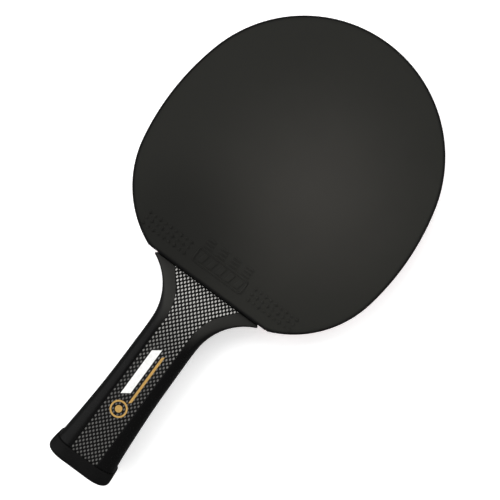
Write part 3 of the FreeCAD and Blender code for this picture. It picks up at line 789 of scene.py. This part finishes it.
@dataclass
class Topsheets:
    """The black and red pimpled sheets: smooth side out, their pimples showing at the trimmed edge.
    """

    rim: float = 0.45 * MM
    rim_shade_fade: float = 1.6 * MM
    pimple_radius: float = 0.85 * MM
    pimple_pitch: float = 2.3 * MM
    nearest: float = 1.0 * MM
    furthest: float = 3.0 * MM
    field_depth: float = 1.1 * MM
    tip_share: float = 0.86
    tip_round: float = 0.12 * MM

    def build(self, slots: dict[str, bpy.types.Material]) -> None:
        """Models the front sheet, and turns a copy of it over for the back."""
        low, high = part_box("front_topsheet")
        sheet = merged_copy("front_topsheet", "front_rubber")
        with editing(sheet, "FACE"):
            choose_faces(sheet, flat_at(high.z))
            bpy.ops.mesh.dissolve_faces()
        outline = self.outline(sheet, high.z)
        with editing(sheet, "FACE"):
            choose_faces(sheet, flat_at(high.z))
            bpy.ops.mesh.bevel(offset=self.rim, segments=3, affect="EDGES")
        # The inset ring sets how far the rim's painted shade fades inwards.
        with editing(sheet, "FACE"):
            choose_faces(sheet, flat_at(high.z))
            bpy.ops.mesh.inset(thickness=self.rim_shade_fade)
        self.mark_rim_shade(sheet, outline)
        marks = Emboss(high.z, low.y).build()
        join([sheet, *marks, *self.pimples(outline, low.z)])
        smooth(sheet, 40.0)
        middle = (low.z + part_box("back_topsheet")[1].z) / 2
        lift = Matrix.Translation((0.0, 0.0, middle))
        over = lift @ Matrix.Rotation(math.pi, 4, "Y") @ lift.inverted()
        other = twin(sheet, "back_rubber", over)
        hand_over(sheet, "black_rubber", slots, "front_topsheet")
        hand_over(other, "red_rubber", slots, "back_topsheet")

    def mark_rim_shade(self, sheet: bpy.types.Object, outline: list[Vector]) -> None:
        """Writes the point attribute by which the finish paints shade along the sheet's edge."""
        shares = [float(self.depth_inside(point.co.xy.to_3d(), outline) < self.rim + 0.05 * MM)
                  for point in sheet.data.vertices]
        sheet.data.attributes.new(RIM_SHADE, "FLOAT", "POINT").data.foreach_set("value", shares)

    @staticmethod
    def outline(sheet: bpy.types.Object, height: float) -> list[Vector]:
        """The corners of the sheet's flat top, in order."""
        tops = [face for face in sheet.data.polygons
                if face.normal.z > LEVEL and abs(face.center.z - height) < NEAR]
        widest = max(tops, key=lambda face: face.area)
        return [sheet.data.vertices[number].co.xy.to_3d() for number in widest.vertices]

    def pimples(self, outline: list[Vector], foot: float) -> list[bpy.types.Object]:
        """The pimples near the cut edge, on a three-way lattice.

        Args:
            outline: the sheet's outline.
            foot: the height of the pimples' tips.

        Returns:
            One piece for each pimple.
        """
        bpy.ops.mesh.primitive_cylinder_add(
            vertices=10, radius=self.pimple_radius, depth=self.field_depth,
            location=(0.0, 0.0, foot + self.field_depth / 2))
        pattern = bpy.context.object
        settle(pattern)
        with editing(pattern, "FACE"):
            choose_faces(pattern, flat_at(foot))
            bpy.ops.transform.resize(value=(self.tip_share, self.tip_share, 1.0))
            bpy.ops.mesh.bevel(offset=self.tip_round, segments=1, affect="EDGES")
        found = [twin(pattern, "pimple", Matrix.Translation(place))
                 for place in self.lattice(outline)]
        bpy.data.objects.remove(pattern)
        return found

    def lattice(self, outline: list[Vector]) -> Iterator[Vector]:
        """The lattice's points that lie inside the outline and near it."""
        rise = self.pimple_pitch * math.sqrt(0.75)
        lows = [min(corner[axis] for corner in outline) for axis in (0, 1)]
        highs = [max(corner[axis] for corner in outline) for axis in (0, 1)]
        for row in range(int((highs[1] - lows[1]) / rise) + 1):
            shift = self.pimple_pitch / 2 * (row % 2)
            for column in range(int((highs[0] - lows[0]) / self.pimple_pitch) + 1):
                place = Vector((lows[0] + shift + column * self.pimple_pitch,
                                lows[1] + row * rise, 0.0))
                if self.nearest < self.depth_inside(place, outline) < self.furthest:
                    yield place

    @staticmethod
    def depth_inside(place: Vector, outline: list[Vector]) -> float:
        """How far inside the outline a place is; less than 0 where it is outside."""
        depth = math.inf
        inside = False
        for first, second in zip(outline, outline[1:] + outline[:1]):
            nearest, share = intersect_point_line(place, first, second)
            if share < 0.0:
                nearest = first
            elif share > 1.0:
                nearest = second
            depth = min(depth, (place - nearest).length)
            if (first.y > place.y) != (second.y > place.y):
                slope = (place.y - first.y) / (second.y - first.y)
                if place.x < first.x + slope * (second.x - first.x):
                    inside = not inside
        return depth if inside else -depth


# --- the edge and the handle ----------------------------------------------------------------------

@dataclass
class EdgeTape:
    """The tape round the blade's edge, with its two long edges rolled over."""

    roll: float = 0.1 * MM

    def build(self, slots: dict[str, bpy.types.Material]) -> None:
        """Rolls the edges of the tape."""
        low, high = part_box("edge_tape")
        tape = merged_copy("edge_tape", "blade_edge_tape")
        for height in (low.z, high.z):
            with editing(tape, "FACE"):
                choose_faces(tape, flat_at(height))
                bpy.ops.mesh.dissolve_faces()
            with editing(tape, "FACE"):
                choose_faces(tape, flat_at(height))
                bpy.ops.mesh.bevel(offset=self.roll, segments=2, affect="EDGES")
        smooth(tape, 50.0)
        hand_over(tape, "edge_tape", slots, "edge_tape")


@dataclass
class Handle:
    """The handle's two shells, with their edges eased so that the parting line shows."""

    ease: float = 0.2 * MM

    def build(self, slots: dict[str, bpy.types.Material]) -> None:
        """Eases both shells."""
        for face in Face:
            shell = merged_copy(f"{face.value}_handle_shell", f"{face.value}_shell")
            apply_modifier(shell, "BEVEL", width=self.ease, segments=2, limit_method="ANGLE",
                           angle_limit=math.radians(50.0), use_clamp_overlap=False)
            smooth(shell, 40.0)
            hand_over(shell, "gloss_shell", slots, f"{face.value}_handle_shell")


# --- the room -------------------------------------------------------------------------------------

@dataclass
class Studio:
    """The white floor, the soft lights and the camera that looks straight down at the paddle."""

    camera_height: float = 0.363
    blade_middle: float = 0.0128
    aim: Point = (0.00601, 0.00739)
    lean: float = math.radians(53.68)
    image_span: float = 0.26333
    surround: float = 0.08
    floor_glow: float = 0.42
    floor_side: float = 12.0
    light_tilt: float = math.radians(56.0)
    light_spread: float = math.radians(64.0)
    fills: tuple[Point, ...] = ((125.0, 2.2), (75.0, 1.6), (190.0, 1.1), (15.0, 0.8), (255.0, 0.8))
    gleams: tuple[Point, ...] = ((163.0, 0.24), (20.0, 0.16))

    def build(self) -> None:
        """Lays the floor, hangs the lights and sets the camera."""
        self.lay_floor()
        self.light_surround()
        for bearing, strength in self.fills:
            self.hang("fill", bearing, strength).visible_glossy = False
        for bearing, strength in self.gleams:
            self.hang("gleam", bearing, strength)
        self.set_camera()
        bpy.context.scene.view_settings.view_transform = "Standard"

    def lay_floor(self) -> None:
        """A wide white floor under the paddle, kept out of its reflections."""
        bpy.ops.mesh.primitive_plane_add(size=self.floor_side, location=(0.0, 0.0, 0.0))
        floor = bpy.context.object
        floor.name = "floor"
        graph = Graph("floor_paint")
        graph.set(Base_Color=(0.92, 0.92, 0.92), Roughness=0.95, Specular_IOR_Level=0.0,
                  Emission_Color=(1.0, 1.0, 1.0), Emission_Strength=self.floor_glow)
        floor.data.materials.append(graph.material)
        floor.visible_glossy = False

    def light_surround(self) -> None:
        """A dim even surround that shows white where nothing stands before it."""
        world = bpy.data.worlds.new("surround")
        world.use_nodes = True
        tree = world.node_tree
        ray = tree.nodes.new("ShaderNodeLightPath")
        level = tree.nodes.new("ShaderNodeMapRange")
        level.inputs["To Min"].default_value = self.surround
        level.inputs["To Max"].default_value = 1.0
        tree.links.new(ray.outputs["Is Camera Ray"], level.inputs["Value"])
        tree.links.new(level.outputs["Result"], tree.nodes["Background"].inputs["Strength"])
        tree.nodes["Background"].inputs["Color"].default_value = (1.0, 1.0, 1.0, 1.0)
        bpy.context.scene.world = world

    def hang(self, name: str, bearing: float, strength: float) -> bpy.types.Object:
        """Hangs one broad, far light of the ring.

        Args:
            name: what it is for.
            bearing: where it stands, in degrees anticlockwise from the camera's right.
            strength: how strong it is.

        Returns:
            The lamp.
        """
        light = bpy.data.lights.new(name, "SUN")
        light.energy = strength
        light.angle = self.light_spread
        lamp = bpy.data.objects.new(name, light)
        bpy.context.scene.collection.objects.link(lamp)
        turn = math.pi / 2 - self.lean + math.radians(bearing)
        away = Vector((math.cos(turn) * math.sin(self.light_tilt),
                       math.sin(turn) * math.sin(self.light_tilt), math.cos(self.light_tilt)))
        lamp.rotation_euler = away.to_track_quat("Z", "Y").to_euler()
        return lamp

    def set_camera(self) -> None:
        """A camera straight above, turned so that the handle points down to the left."""
        data = bpy.data.cameras.new("camera")
        data.sensor_width = 36.0
        data.lens = data.sensor_width * self.camera_height / self.image_span
        camera = bpy.data.objects.new("camera", data)
        bpy.context.scene.collection.objects.link(camera)
        camera.location = (*self.aim, self.blade_middle + self.camera_height)
        camera.rotation_euler = (0.0, 0.0, math.pi / 2 - self.lean)
        bpy.context.scene.camera = camera


# --- the whole paddle -----------------------------------------------------------------------------

def dress_nodes(slots: dict[str, bpy.types.Material]) -> None:
    """Gives every CAD node the finish of its slot."""
    for entry in frame["record"]["subparts"]:
        node = frame["nodes"][entry["node"]]
        node.data.materials.clear()
        node.data.materials.append(slots[entry["material_slot"]])
        LOG.info("%s: finish %s", entry["node"], entry["material_slot"])


def main() -> None:
    """Builds the paddle and its room."""
    logging.basicConfig(level=logging.INFO, format="%(name)s %(message)s")
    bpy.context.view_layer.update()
    bpy.ops.object.select_all(action="DESELECT")
    slots = finishes()
    dress_nodes(slots)
    Topsheets().build(slots)
    EdgeTape().build(slots)
    Handle().build(slots)
    Studio().build()


if __name__ == "__main__":
    main()
